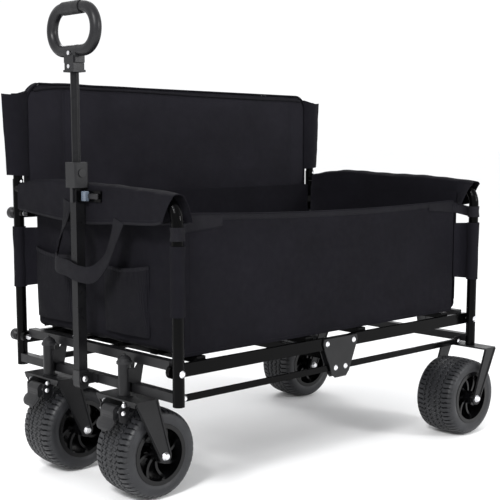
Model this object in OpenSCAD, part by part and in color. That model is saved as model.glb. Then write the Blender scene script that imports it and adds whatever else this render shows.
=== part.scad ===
// Folding camp wagon with a high padded backrest on its far long side.
// Frame: X runs from the handle end (-X) to the rear, Y from the open side to the backrest, Z up.
// The origin lies on the ground, under the middle of the whole wagon.

/* [Frame] */
// Distance between the front and the rear posts
frame_l = 1010; // [960:10:1060]
// Distance between the near and the far posts
frame_w = 600; // [590:5:620]
// Outside diameter of the frame tube
tube_d = 25; // [24:0.5:26]
// Wall of the frame tube
tube_wall = 1.5; // [1:0.1:2]
// Height of the lower ends of the posts
post_bottom = 229; // [229:1:235]
// Height of the centre line of the end frames' top tubes
frame_top = 657; // [640:1:680]
// Radius of the end frames' bent corner, at the centre line
bend_r = 52; // [45:1:60]
// Side of the square crossbar tube
crossbar_w = 20; // [18:1:22]

/* [Folding linkage] */
// Height of the upper side bars' pivots
pivot_z = 299; // [297:1:301]
// Depth of the upper side bars
upper_bar_h = 28; // [24:1:28]
// Depth of the lower side bars
lower_bar_h = 14; // [10:1:14]
// Drop from the upper to the lower pivots
pivot_drop = 60; // [58:1:62]
// Inset of the lower pivots from the upper pivots
pivot_inset = 29; // [27:1:31]
// Half of the distance between the upper pivots on the centre plates
plate_half = 46; // [44:1:48]
// Height of the back rail behind the seat
rail_z = 598; // [590:1:604]

/* [Wheels] */
// Diameter of the wheels
wheel_d = 200; // [196:1:200]
// Width of the tyres
tyre_w = 114; // [100:1:116]
// Distance from the centre line to each caster's swivel axis
caster_y = 146; // [140:1:150]
// Distance of the swivel axis ahead of the front posts
caster_ahead = 23; // [23:0.5:24]
// Trail from the swivel axis back to the axle
caster_trail = 54; // [50:1:56]
// Distance from the centre line to each rear wheel
rear_wheel_y = 294; // [290:1:298]
// Distance of the rear axle ahead of the rear posts
rear_axle_ahead = 55; // [50:1:60]
// Half width of the wheel forks, to the legs' outer faces
fork_half = 71; // [70:0.5:73]
// Diameter of the wheel axles
axle_d = 10; // [8:1:12]

/* [Handle] */
// Distance of the handle ahead of the front posts
handle_ahead = 35; // [35:1:38]
// Side of the handle's square lower tube
handle_w = 22; // [22:0.5:23]
// Diameter of the handle's sliding upper tube
slide_d = 19; // [18:0.1:19]
// Height of the collar's lower edge
collar_z = 670; // [660:1:690]
// Height of the grip's neck
neck_z = 917; // [900:1:930]
// Width of the grip
grip_w = 188; // [160:1:200]
// Height of the grip's ring
grip_h = 115; // [110:1:120]

/* [Covers] */
// Half length of the tub
tub_half_l = 462; // [440:1:464]
// Height of the lower edge of the tub's sides
tub_z = 321; // [321:1:324]
// Height of the upper edge of the near side
side_top = 612; // [590:1:630]
// Height of the backrest's top edge
back_top = 908; // [850:1:930]
// Thickness of the plain fabric solids
cloth_t = 3; // [2:0.5:3]

/* [Hidden] */
$fn = 48;
gap = 0.05;
clear = 1;
sides = [-1, 1];
ends = [-1, 1];

// The pedals reach furthest forward and the rear tyres furthest back: the origin is midway
pedal_reach = 58;
front_reach = frame_l / 2 + caster_ahead + pedal_reach;
rear_reach = frame_l / 2 - rear_axle_ahead + wheel_d / 2;
mid_x = (front_reach - rear_reach) / 2;
front_x = mid_x - frame_l / 2;
rear_x = mid_x + frame_l / 2;

post_y = frame_w / 2;
tube_r = tube_d / 2;
post_in = post_y - tube_r;
post_out = post_y + tube_r;
socket_top = frame_top + 23;
pole_d = tube_d - 2 * tube_wall - 2 * gap;

wheel_r = wheel_d / 2;
plate_t = 4;
leg_t = 3.5;
stem_x = front_x - caster_ahead;
front_axle_x = stem_x + caster_trail;
rear_axle_x = rear_x - rear_axle_ahead;

low_z = post_bottom + 18;
bolt_d = 8;
bar_in = post_in - 12.5;
bar_t = 11;
thin_bar_t = 7;
thin_bar_in = bar_in + 2;
lower_z = pivot_z - pivot_drop;
plate_in = bar_in - 4.5;
plate_out = bar_in + bar_t + 1;
sheet_t = 3;
floor_rail_z = 310;
tub_side = bar_in - 7;
slat_y = [-189, -60, 60, 189];
slat_t = 2.9;
board_t = 6;
bumper_d = 28;

handle_x = front_x - handle_ahead;
handle_pivot_z = 247;
socket_z = 223;
tube_foot_z = 266;
slide_foot_z = 575;
collar_h = 55;
grip_bar_d = 25;
grip_z = neck_z + 33 + grip_h / 2;
clip_z = 652;

black = [0.08, 0.08, 0.09];
cloth = [0.15, 0.15, 0.17];
plastic = [0.12, 0.12, 0.13];
rubber = [0.2, 0.2, 0.21];
silver = [0.75, 0.75, 0.77];

// ---------- shared shapes ----------

// A round bar along Y between two places
module rod_y(x, z, y0, y1, d) {
    translate([x, min(y0, y1), z]) rotate([-90, 0, 0]) cylinder(d = d, h = abs(y1 - y0));
}

// A box given by its low and high corners
module block(low, high) {
    translate(low) cube(high - low);
}

// A plate drawn in X and Z, standing between two places along Y
module plate_y(y0, y1) {
    translate([0, max(y0, y1), 0]) rotate([90, 0, 0]) linear_extrude(abs(y1 - y0)) children();
}

// A side bar with round ends and two pivot holes, in X and Z
module bar_outline(xa, xb, z, h) {
    difference() {
        union() {
            translate([min(xa, xb), z - h / 2]) square([abs(xb - xa), h]);
            for (x = [xa, xb]) translate([x, z]) circle(d = h);
        }
        for (x = [xa, xb]) translate([x, z]) circle(d = bolt_d + 2 * gap);
    }
}

// A bolt along Y: a shaft, a domed head at y_head and a nut at y_nut
module bolt_y(x, z, y_head, y_nut, head_d, out) {
    rod_y(x, z, y_head, y_nut, bolt_d);
    translate([x, y_head, z]) rotate([out * -90, 0, 0]) cylinder(d1 = head_d, d2 = head_d * 0.6, h = 3.2);
    translate([x, y_nut, z]) rotate([out * 90, 0, 0]) cylinder(d = bolt_d + 5, h = 4.5);
}

// ---------- end frames ----------

// One end frame's centre path, as a solid of the given radius
module frame_path(x, r, far_top) {
    corner_z = frame_top - bend_r;
    translate([x, -post_y, post_bottom]) cylinder(r = r, h = corner_z - post_bottom);
    translate([x, -post_y + bend_r, corner_z]) rotate([90, 0, 0]) rotate([0, 90, 0])
        rotate([0, 0, 90]) rotate_extrude(angle = 90) translate([bend_r, 0]) circle(r = r);
    rod_y(x, frame_top, -post_y + bend_r, post_y, 2 * r);
    translate([x, post_y, post_bottom]) cylinder(r = r, h = far_top - post_bottom);
}

// An end frame: a bent tube whose far leg rises into the socket of the backrest pole
module end_frame(x) {
    color(black) difference() {
        frame_path(x, tube_r, socket_top);
        translate([x, -post_y, post_bottom - 1]) cylinder(r = tube_r - tube_wall, h = 60);
        translate([x, post_y, post_bottom - 1])
            cylinder(r = tube_r - tube_wall, h = socket_top - post_bottom + 2);
        rod_y(x, frame_top, -post_y + bend_r + 1, post_y, 2 * (tube_r - tube_wall));
        translate([x, -post_y, post_bottom])
            cylinder(r = tube_r - tube_wall, h = frame_top - bend_r - post_bottom);
        rod_y(x, pivot_z, -post_out - 1, post_out + 1, bolt_d + 2 * gap);
        rod_y(x, rail_z, 0, post_out + 1, bolt_d + 2 * gap);
    }
}
module front_frame() { end_frame(front_x); }
module rear_frame() { end_frame(rear_x); }

// A lower crossbar with the ears of the lower side bars' pivots, and the floor rail that its
// uprights carry; dir points to the wagon's middle
module crossbar(x, dir) {
    w = crossbar_w / 2;
    ear_x = x + dir * pivot_inset;
    rail_half = bar_in - 5.5;
    color(black) {
        difference() {
            block([x - w, -post_y, low_z - w], [x + w, post_y, low_z + w]);
            for (s = sides) translate([x, s * post_y, 0]) cylinder(r = tube_r + gap, h = 2 * low_z);
        }
        for (s = sides) difference() {
            plate_y(s * (thin_bar_in - 6), s * (thin_bar_in - 3)) union() {
                translate([ear_x, lower_z]) circle(r = 10);
                translate([min(x + dir * w, ear_x), lower_z - 10]) square([pivot_inset - w, 20]);
            }
            rod_y(ear_x, lower_z, s * (thin_bar_in - 8), s * thin_bar_in, bolt_d + 2 * gap);
        }
        block([min(x, x + dir * 2 * w), -rail_half, floor_rail_z - w],
              [max(x, x + dir * 2 * w), rail_half, floor_rail_z + w]);
        for (s = sides, t = ends) plate_y(s * caster_y + t * 13.6, s * caster_y + t * 16.6)
            polygon([[x - dir * 24, low_z + 16], [x - dir * w, low_z + w], [x + dir * 8, low_z + w],
                     [x + dir * 17, floor_rail_z - w], [x + dir * 1, floor_rail_z - w],
                     [x - dir * 6, low_z + 44], [x - dir * 24, low_z + 44]]);
    }
}
module front_crossbar() { crossbar(front_x, 1); }
module rear_crossbar() { crossbar(rear_x, -1); }

// A backrest pole, in the socket at the top of the far post
module back_pole(x) {
    color(black) difference() {
        translate([x, post_y, frame_top - 40]) cylinder(d = pole_d, h = back_top - 26 - frame_top + 40);
        translate([x, post_y, frame_top - 41]) cylinder(d = pole_d - 3, h = back_top - 30 - frame_top + 40);
    }
}
module front_pole() { back_pole(front_x); }
module rear_pole() { back_pole(rear_x); }

// Round rubber bumpers on the far post, over the pivot bolts
module bumpers(x) {
    color(rubber) for (z = [pivot_z, rail_z]) difference() {
        translate([x, post_out, z]) rotate([-90, 0, 0]) rotate_extrude()
            polygon([[0, 0.1], [9, 0.1], [bumper_d / 2, 6], [bumper_d / 2, 20],
                     [bumper_d / 2 - 5, 27], [0, 28]]);
        rod_y(x, z, post_out - 1, post_out + 12, bolt_d + 2 * gap);
    }
}
module front_bumpers() { bumpers(front_x); }
module rear_bumpers() { bumpers(rear_x); }

// The bolts of one end frame: the side bars' pivots, the back rail's pivot and the pole's lock pin
module frame_bolts(x, dir) {
    nut_y = bar_in - 0.3;
    color(silver) {
        bolt_y(x, pivot_z, -post_out - 0.2, -nut_y, 15, -1);
        for (z = [pivot_z, rail_z]) {
            rod_y(x, z, nut_y, post_out + 11.5, bolt_d);
            rod_y(x, z, nut_y, nut_y - 4.5, bolt_d + 5);
        }
        for (s = sides)
            bolt_y(x + dir * pivot_inset, lower_z, s * (thin_bar_in + thin_bar_t + 0.4),
                   s * (thin_bar_in - 6.3), 13, s);
        rod_y(x, socket_top - 5.5, post_in - 1.6, post_in - 0.3, 6);
    }
}
module front_bolts() { frame_bolts(front_x, 1); }
module rear_bolts() { frame_bolts(rear_x, -1); }

// ---------- folding linkage ----------

// The upper side bars of one half, near and far
module upper_bars(x, dir) {
    color(black) for (s = sides)
        plate_y(s * bar_in, s * (bar_in + bar_t))
            bar_outline(x, mid_x - dir * plate_half, pivot_z, upper_bar_h);
}
module front_upper_bars() { upper_bars(front_x, 1); }
module rear_upper_bars() { upper_bars(rear_x, -1); }

// The lower side bars of one half
module lower_bars(x, dir) {
    xa = x + dir * pivot_inset;
    xb = mid_x - dir * (plate_half - pivot_inset);
    color(black) for (s = sides)
        plate_y(s * thin_bar_in, s * (thin_bar_in + thin_bar_t)) bar_outline(xa, xb, lower_z, lower_bar_h);
}
module front_lower_bars() { lower_bars(front_x, 1); }
module rear_lower_bars() { lower_bars(rear_x, -1); }

// The strips that fold with the side bars: two across, and the slats of the floor along them
module slats(x, dir) {
    z = floor_rail_z + crossbar_w / 2 + 0.4;
    xa = x + dir * 22;
    xb = mid_x - dir * 30;
    color(black) {
        for (y = slat_y) block([min(xa, xb), y - 11, z], [max(xa, xb), y + 11, z + slat_t]);
        for (d = [70, frame_l / 2 - 105])
            block([min(x + dir * d, x + dir * (d + 25)), -bar_in + gap, z - 14],
                  [max(x + dir * d, x + dir * (d + 25)), bar_in - gap, z]);
    }
}
module front_slats() { slats(front_x, 1); }
module rear_slats() { slats(rear_x, -1); }

// One half of the stiff floor
module floor_board(dir) {
    z = floor_rail_z + crossbar_w / 2 + 0.4 + slat_t + gap;
    xa = mid_x - dir * 6;
    xb = mid_x - dir * (frame_l / 2 - 70);
    color(cloth)
        block([min(xa, xb), -tub_side + cloth_t + 1, z], [max(xa, xb), tub_side - cloth_t - 1, z + board_t]);
}
module front_floor_board() { floor_board(1); }
module rear_floor_board() { floor_board(-1); }

// One half of the back rail
module back_rail(x, dir) {
    color(black) plate_y(bar_in, bar_in + bar_t - 1)
        bar_outline(x, mid_x - dir * plate_half, rail_z, 18);
}
module back_rail_front() { back_rail(front_x, 1); }
module back_rail_rear() { back_rail(rear_x, -1); }

// A corner of the centre plates: a disc where a rivet sits
module centre_outline() {
    top = plate_half + 14;
    low = plate_half - pivot_inset + 10;
    union() {
        polygon([[-top, pivot_z], [-top + 3, pivot_z + 12], [top - 3, pivot_z + 12], [top, pivot_z],
                 [low + 3, lower_z - 12], [low - 8, lower_z - 24], [8 - low, lower_z - 24],
                 [-low - 3, lower_z - 12]]);
    }
}
// The plates inside and outside the side bars, near and far
module centre_plates() {
    color(black) for (s = sides, y = [plate_in, plate_out]) difference() {
        plate_y(s * y, s * (y + sheet_t)) translate([mid_x, 0]) centre_outline();
        for (dx = ends) {
            rod_y(mid_x + dx * plate_half, pivot_z, s * (y - 1), s * (y + 5), bolt_d + 2 * gap);
            rod_y(mid_x + dx * (plate_half - pivot_inset), lower_z, s * (y - 1), s * (y + 5),
                  bolt_d + 2 * gap);
        }
    }
}
// The rivets through the centre plates and the bars
module centre_rivets() {
    y0 = plate_in - 0.3;
    y1 = plate_out + sheet_t + 0.3;
    color(silver) {
        for (s = sides, dx = ends)
            for (p = [[plate_half, pivot_z, bolt_d], [plate_half - pivot_inset, lower_z, bolt_d - 1]]) {
                x = mid_x + dx * p[0];
                rod_y(x, p[1], s * y0, s * y1, p[2]);
                rod_y(x, p[1], s * (y0 - 2), s * y0, 13);
                translate([x, s * y1, p[1]]) rotate([s * -90, 0, 0]) cylinder(d1 = 13, d2 = 8, h = 2.5);
            }
        for (dx = ends) {
            rod_y(mid_x + dx * plate_half, rail_z, bar_in - 2, y1 + 1.5, bolt_d);
            rod_y(mid_x + dx * plate_half, rail_z, bar_in - 2, bar_in - 0.3, 13);
        }
    }
}
// The crossbar that ties the near and the far plates, and the strip that carries the back rail
module centre_frame() {
    w = crossbar_w / 2;
    foot = pivot_z + 12.05;
    reach = plate_half + 14;
    color(black) {
        block([mid_x - w, -plate_in + gap, 252], [mid_x + w, plate_in - gap, 252 + crossbar_w]);
        difference() {
            plate_y(plate_out, plate_out + sheet_t) translate([mid_x, 0])
                polygon([[-13, foot], [13, foot], [13, rail_z - 14], [reach, rail_z - 12],
                         [reach, rail_z + 12], [-reach, rail_z + 12], [-reach, rail_z - 12],
                         [-13, rail_z - 14]]);
            for (dx = ends)
                rod_y(mid_x + dx * plate_half, rail_z, plate_out - 1, plate_out + 5, bolt_d + 2 * gap);
        }
    }
}

// ---------- handle ----------

// Two ears for the handle's pivot, each with a flange on the crossbar
module handle_bracket() {
    x0 = front_x - crossbar_w / 2 - gap;
    color(black) for (s = sides) {
        block([x0 - 3, min(s * 17, s * 32), low_z - 10], [x0, max(s * 17, s * 32), low_z + 10]);
        difference() {
            plate_y(s * 13.6, s * 17.1) union() {
                translate([handle_x, handle_pivot_z]) circle(r = 12);
                translate([handle_x, handle_pivot_z - 12]) square([x0 - handle_x, 24]);
            }
            rod_y(handle_x, handle_pivot_z, s * 13, s * 18, bolt_d + 2 * gap);
        }
    }
}
module handle_bolt() {
    color(silver) bolt_y(handle_x, handle_pivot_z, -17.4, 17.4, 14, -1);
}
// The plastic foot of the handle
module handle_socket() {
    w = 12.5;
    color(plastic) difference() {
        union() {
            block([handle_x - w, -w, socket_z + 12.5], [handle_x + w, w, tube_foot_z - gap]);
            rod_y(handle_x, socket_z + 12.5, -w, w, 2 * w);
        }
        rod_y(handle_x, handle_pivot_z, -w - 1, w + 1, bolt_d + 2 * gap);
    }
}
module handle_tube() {
    w = handle_w / 2;
    inner = w - 1.2;
    color(black) difference() {
        block([handle_x - w, -w, tube_foot_z], [handle_x + w, w, collar_z + 14]);
        block([handle_x - inner, -inner, tube_foot_z + 4], [handle_x + inner, inner, collar_z + 15]);
    }
}
// The locking collar at the top of the lower tube
module handle_collar() {
    w = handle_w / 2 + gap;
    rx = 17;
    ry = 20;
    color(plastic) difference() {
        union() {
            block([handle_x - rx + 4, -ry, collar_z], [handle_x + rx - 4, ry, collar_z + collar_h]);
            block([handle_x - rx, -ry + 4, collar_z], [handle_x + rx, ry - 4, collar_z + collar_h]);
            for (i = ends, j = ends)
                translate([handle_x + i * (rx - 4), j * (ry - 4), collar_z]) cylinder(r = 4, h = collar_h);
            block([handle_x - w - 4, -5, collar_z - 32], [handle_x - w, 5, collar_z + 1]);
        }
        block([handle_x - w, -w, collar_z - 1], [handle_x + w, w, collar_z + 14 + gap]);
        translate([handle_x, 0, collar_z]) cylinder(d = slide_d + 2 * gap, h = collar_h + 1);
        rod_y(handle_x, collar_z + 32, -ry - 1, -ry + 6, 18.2);
    }
}
// The collar's release button
module handle_button() {
    color(silver) {
        rod_y(handle_x, collar_z + 32, -22.5, -17.2, 18);
    }
}
module slide_tube() {
    color(black) difference() {
        translate([handle_x, 0, slide_foot_z]) cylinder(d = slide_d, h = neck_z + 30 - slide_foot_z);
        translate([handle_x, 0, slide_foot_z - 1]) cylinder(d = slide_d - 3, h = neck_z + 28 - slide_foot_z);
    }
}
// The ring grip: two half rings joined by straight bars, on a neck
module grip() {
    r = (grip_h - grip_bar_d) / 2;
    dy = grip_w / 2 - grip_h / 2;
    color(plastic) difference() {
        union() {
            for (s = sides) translate([handle_x, s * dy, grip_z]) rotate([0, 90, 0])
                rotate([0, 0, s * 90 - 90]) rotate_extrude(angle = 180)
                    translate([r, 0]) circle(d = grip_bar_d);
            for (z = [-r, r]) rod_y(handle_x, grip_z + z, -dy, dy, grip_bar_d);
            block([handle_x - 12, -22, neck_z + 20], [handle_x + 12, 22, grip_z - r]);
            block([handle_x - 14, -17, neck_z + 5], [handle_x + 14, 17, neck_z + 34]);
            block([handle_x - 16, -19, neck_z], [handle_x + 16, 19, neck_z + 5]);
        }
        translate([handle_x, 0, neck_z - 1]) cylinder(d = slide_d + 2 * gap, h = 31.2);
        for (z = [12, 40]) translate([handle_x - 17, 0, neck_z + z]) rotate([0, 90, 0])
            cylinder(d = 5 + 2 * gap, h = 17 - 9.6);
    }
}
// The soft sleeve on the top of the grip
module grip_pad() {
    z = grip_z + (grip_h - grip_bar_d) / 2;
    color(rubber) difference() {
        rod_y(handle_x, z, -34, 34, grip_bar_d + 4);
        rod_y(handle_x, z, -35, 35, grip_bar_d + 2 * gap);
    }
}
module grip_screws() {
    color(silver) for (z = [12, 40]) translate([handle_x - 14.4, 0, neck_z + z]) rotate([0, 90, 0]) {
        cylinder(d = 5, h = 4.6);
        translate([0, 0, -1.6]) cylinder(d = 9, h = 1.6);
    }
}
// The clip on the front cover that holds the lower tube upright
module handle_clip() {
    x1 = front_x - tube_r - cloth_t - 2.5;
    w = handle_w / 2;
    color(plastic) {
        block([x1 - 5, -70, clip_z - 12], [x1, w + 4, clip_z + 12]);
        for (s = sides)
            block([handle_x - 8, min(s * (w + 0.6), s * (w + 4)), clip_z - 12],
                  [x1 - 4, max(s * (w + 0.6), s * (w + 4)), clip_z + 12]);
    }
}

// ---------- wheels ----------

module tyre(x, y) {
    half = tyre_w / 2;
    color(rubber) translate([x, y, wheel_r]) rotate([90, 0, 0]) rotate_extrude()
        polygon([[64, -50], [69, -half + 2], [82, -half], [wheel_r - 10, -half + 1.5],
                 [wheel_r - 3, -half + 8], [wheel_r, -half + 18], [wheel_r, half - 18], [wheel_r - 3, half - 8],
                 [wheel_r - 10, half - 1.5], [82, half], [69, half - 2], [64, 50]]);
}
module front_near_tyre() { tyre(front_axle_x, -caster_y); }
module front_far_tyre() { tyre(front_axle_x, caster_y); }
module rear_near_tyre() { tyre(rear_axle_x, -rear_wheel_y); }
module rear_far_tyre() { tyre(rear_axle_x, rear_wheel_y); }

// A rim: a barrel with lips, a hub, a closed web in the middle and two sets of curved spokes
module rim(x, y) {
    spokes = 8;
    hub_r = 17;
    color(black) translate([x, y, wheel_r]) rotate([90, 0, 0]) difference() {
        union() {
            rotate_extrude()
                polygon([[58, -55.5], [67.5, -55.5], [67.5, -53.8], [63.9, -50.1],
                         [63.9, 50.1], [67.5, 53.8], [67.5, 55.5], [58, 55.5]]);
            translate([0, 0, -60]) cylinder(r = hub_r, h = 120);
            translate([0, 0, -2]) cylinder(r = 60, h = 4);
            for (side = ends, i = [0 : spokes - 1])
                rotate([0, 0, i * 360 / spokes]) translate([0, 0, side * 36 - 5]) linear_extrude(10)
                    intersection() {
                        difference() {
                            circle(r = 60);
                            circle(r = hub_r - 2);
                        }
                        translate([20, 34]) difference() {
                            circle(r = 40);
                            circle(r = 34);
                        }
                        translate([0, -20]) square([70, 40]);
                    }
        }
        translate([0, 0, -61]) cylinder(d = axle_d + 2 * gap, h = 122);
    }
}
module front_near_rim() { rim(front_axle_x, -caster_y); }
module front_far_rim() { rim(front_axle_x, caster_y); }
module rear_near_rim() { rim(rear_axle_x, -rear_wheel_y); }
module rear_far_rim() { rim(rear_axle_x, rear_wheel_y); }

module axle(x, y) {
    color(silver) {
        rod_y(x, wheel_r, y - fork_half - 0.2, y + fork_half + 0.2, axle_d);
        translate([x, y - fork_half - 0.2, wheel_r]) rotate([90, 0, 0]) cylinder(d1 = 19, d2 = 12, h = 6);
        rod_y(x, wheel_r, y + fork_half + 0.2, y + fork_half + 6.2, 17);
    }
}
module front_near_axle() { axle(front_axle_x, -caster_y); }
module front_far_axle() { axle(front_axle_x, caster_y); }
module rear_axles() { for (s = sides) axle(rear_axle_x, s * rear_wheel_y); }

// A fork's leg in X and Z: a strap from the top plate that narrows to a round end at the axle
module leg_outline(x0, x1, axle_x) {
    r = 16;
    top = post_bottom - plate_t;
    polygon([[x0, top], [x1, top], [axle_x + r, wheel_r + 3], [axle_x + 9, wheel_r - 13],
             [axle_x - 9, wheel_r - 13], [axle_x - r, wheel_r - 3]]);
    translate([axle_x, wheel_r]) circle(r = r);
}
// A raised rib along one edge of a leg
module leg_rib(x0, x1) {
    polygon([[x0, post_bottom - plate_t], [x0 + 4, post_bottom - plate_t],
             [x1 + 4, wheel_r + 2], [x1, wheel_r + 2]]);
}
module fork(y, x0, x1, axle_x) {
    in = fork_half - leg_t;
    rib = 2;
    difference() {
        union() {
            block([x0, y - fork_half, post_bottom - plate_t], [x1, y + fork_half, post_bottom - gap]);
            for (s = sides) {
                plate_y(y + s * in, y + s * fork_half) leg_outline(x0, x1, axle_x);
                plate_y(y + s * fork_half, y + s * (fork_half + rib)) {
                    leg_rib(x0 + 1, axle_x - 15);
                    leg_rib(x1 - 5, axle_x + 11);
                }
            }
        }
        rod_y(axle_x, wheel_r, y - fork_half - 5, y + fork_half + 5, axle_d + 2 * gap);
        for (s = sides) translate([0, s == 1 ? 0.1 : -0.1, 0])
            rod_y(axle_x, wheel_r, y + s * fork_half, y + s * (fork_half + 5), 20);
    }
}
// A swivelling fork with its king pin, bearing washer and the ears of the brake pedal
module caster_fork(y) {
    plate_front = stem_x - 24;
    pin_d = 16;
    color(black) {
        fork(y, plate_front, stem_x + 36, front_axle_x);
        translate([stem_x, y, post_bottom - gap]) {
            cylinder(d = 36, h = 2);
            cylinder(d = pin_d, h = 66);
        }
        block([plate_front, y - fork_half + 4, post_bottom - plate_t - 8],
              [plate_front + 3, y - 36, post_bottom - plate_t]);
        block([plate_front, y + 36, post_bottom - plate_t - 8],
              [plate_front + 3, y + fork_half - 4, post_bottom - plate_t]);
        for (s = sides) difference() {
            plate_y(y + s * 31.5, y + s * 34.5)
                polygon([[stem_x - 20, post_bottom - plate_t], [stem_x - 23.9, post_bottom - plate_t],
                         [stem_x - 40, post_bottom - 16], [stem_x - 40, post_bottom - 44],
                         [stem_x - 26, post_bottom - 50], [stem_x - 16, post_bottom - 38],
                         [stem_x - 14, post_bottom - plate_t]]);
            rod_y(stem_x - 32, post_bottom - 26, y + s * 30, y + s * 36, 6 + 2 * gap);
        }
    }
}
module near_fork() { caster_fork(-caster_y); }
module far_fork() { caster_fork(caster_y); }
module rear_forks() {
    color(black) for (s = sides) fork(s * rear_wheel_y, rear_x - 23, rear_x + 23, rear_axle_x);
}

// A two-step brake pedal on its own pin
module pedal(y) {
    px = stem_x - 32;
    pz = post_bottom - 26;
    color(plastic) {
        plate_y(y - 30, y + 30)
            polygon([[px + 6, pz + 12], [px - 8, pz + 13], [px - 14, pz - 15], [px - 22, pz - 26],
                     [stem_x - pedal_reach, pz - 41], [px - 22, pz - 43], [px - 9, pz - 22],
                     [px + 10, pz - 12], [px + 12, pz]]);
        rod_y(px, pz, y - 38, y + 38, 6);
        for (s = sides) rod_y(px, pz, y + s * 35, y + s * 38, 11);
    }
}
module near_pedal() { pedal(-caster_y); }
module far_pedal() { pedal(caster_y); }

module caster_stems() {
    color(black) for (s = sides) translate([stem_x - 0.5, s * caster_y, post_bottom + 2.5]) difference() {
        cylinder(d = 27, h = 68.5);
        translate([0.5, 0, -1]) cylinder(d = 16 + 2 * gap, h = 71);
    }
}
module stem_caps() {
    color(plastic) for (s = sides) translate([stem_x, s * caster_y, post_bottom + 71 + gap]) rotate_extrude()
        polygon([[0, 0], [17, 0], [17, 5], [14.5, 8], [14, 12], [8, 17], [4, 18.5], [3.5, 21], [0, 22]]);
}

// ---------- covers ----------

// The long sides of the tub
module near_panel() {
    y = tub_side - cloth_t;
    color(cloth) block([mid_x - tub_half_l, -y - cloth_t, tub_z], [mid_x + tub_half_l, -y, side_top]);
}
module far_panel() {
    y = tub_side;
    color(cloth) block([mid_x - tub_half_l, y - cloth_t, tub_z], [mid_x + tub_half_l, y, frame_top - 17]);
}

// A short side of the tub
module end_panel(dir) {
    xa = mid_x + dir * (tub_half_l + 12);
    color(cloth)
        block([xa - cloth_t / 2, -tub_side, tub_z + 4], [xa + cloth_t / 2, tub_side, frame_top - 17]);
}
module front_panel() {
    end_panel(-1);
    // two flat pockets on the outside, open at the top
    xa = mid_x - tub_half_l - 12 - cloth_t / 2;
    depth = 8;
    color(cloth) for (p = [[-177, -19, 504], [106, 264, 512]]) difference() {
        block([xa - depth, p[0], 352], [xa - gap, p[1], p[2]]);
        block([xa - depth + 2, p[0] + 2, 354], [xa - 1.5, p[1] - 2, p[2] + 1]);
    }
}
module rear_panel() { end_panel(1); }

// The sleeve over an end frame's top tube, and the wraps round its posts
module cover(x) {
    r_in = tube_r + 0.8;
    r_out = r_in + cloth_t;
    color(cloth) {
        difference() {
            block([x - r_out - 1, -post_y + 8, frame_top - 66],
                  [x + r_out + 1, bar_in - 1, frame_top + r_out]);
            block([x - r_in - 1, -post_y, frame_top - 70], [x + r_in + 1, post_y, frame_top + r_in]);
        }
        for (wrap = [[-1, 412, 562], [-1, 566, 584], [1, 421, 562]])
            translate([x, wrap[0] * post_y, wrap[1]]) difference() {
                cylinder(r = r_out, h = wrap[2] - wrap[1]);
                translate([0, 0, -1]) cylinder(r = r_in, h = wrap[2] - wrap[1] + 2);
            }
    }
}
module front_cover() { cover(front_x); }
module rear_cover() { cover(rear_x); }

// A webbing strap that hangs from the front sleeve and passes before the handle
module carry_strap() {
    out = front_x - tube_r - cloth_t - 3;
    bow = handle_x - handle_w / 2 - 4;
    path = [[out, 60, 640], [out - 4, 92, 560], [out - 14, 84, 508], [bow, 24, 492],
            [bow, -24, 480], [out - 14, -84, 505], [out - 4, -118, 560], [out, -128, 604]];
    color(cloth) for (i = [0 : len(path) - 2]) hull() for (p = [path[i], path[i + 1]])
        translate(p) translate([-1, -2, -15]) cube([2, 4, 30]);
}

// The padded backrest, with a sleeve over the pole at each side
module backrest() {
    pad_half = frame_l / 2 - 25;
    wing_out = frame_l / 2 + 35;
    color(cloth) {
        plate_y(post_y - 9, post_y + 15) translate([mid_x, 0]) union() {
            translate([-pad_half, frame_top - 15]) square([2 * pad_half, back_top - frame_top + 15 - 40]);
            translate([-pad_half + 40, back_top - 41]) square([2 * pad_half - 80, 41]);
            for (s = sides) translate([s * (pad_half - 40), back_top - 40]) circle(r = 40);
        }
        for (s = sides) difference() {
            block([mid_x + min(s * (pad_half + 1), s * wing_out), post_y - 15, frame_top + 30],
                  [mid_x + max(s * (pad_half + 1), s * wing_out), post_y + 15, back_top - 24]);
            translate([mid_x + s * frame_l / 2, post_y, frame_top]) cylinder(d = pole_d + 1, h = back_top);
        }
    }
}

front_frame();
rear_frame();
front_crossbar();
rear_crossbar();
front_pole();
rear_pole();
front_bumpers();
rear_bumpers();
front_bolts();
rear_bolts();
front_upper_bars();
rear_upper_bars();
front_lower_bars();
rear_lower_bars();
front_slats();
rear_slats();
front_floor_board();
rear_floor_board();
back_rail_front();
back_rail_rear();
centre_plates();
centre_rivets();
centre_frame();
handle_bracket();
handle_bolt();
handle_socket();
handle_tube();
handle_collar();
handle_button();
slide_tube();
grip();
grip_pad();
grip_screws();
handle_clip();
caster_stems();
stem_caps();
near_fork();
far_fork();
near_pedal();
far_pedal();
front_near_axle();
front_far_axle();
front_near_tyre();
front_far_tyre();
front_near_rim();
front_far_rim();
rear_forks();
rear_axles();
rear_near_tyre();
rear_far_tyre();
rear_near_rim();
rear_far_rim();
near_panel();
far_panel();
front_panel();
rear_panel();
front_cover();
rear_cover();
carry_strap();
backrest();
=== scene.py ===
import math

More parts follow.
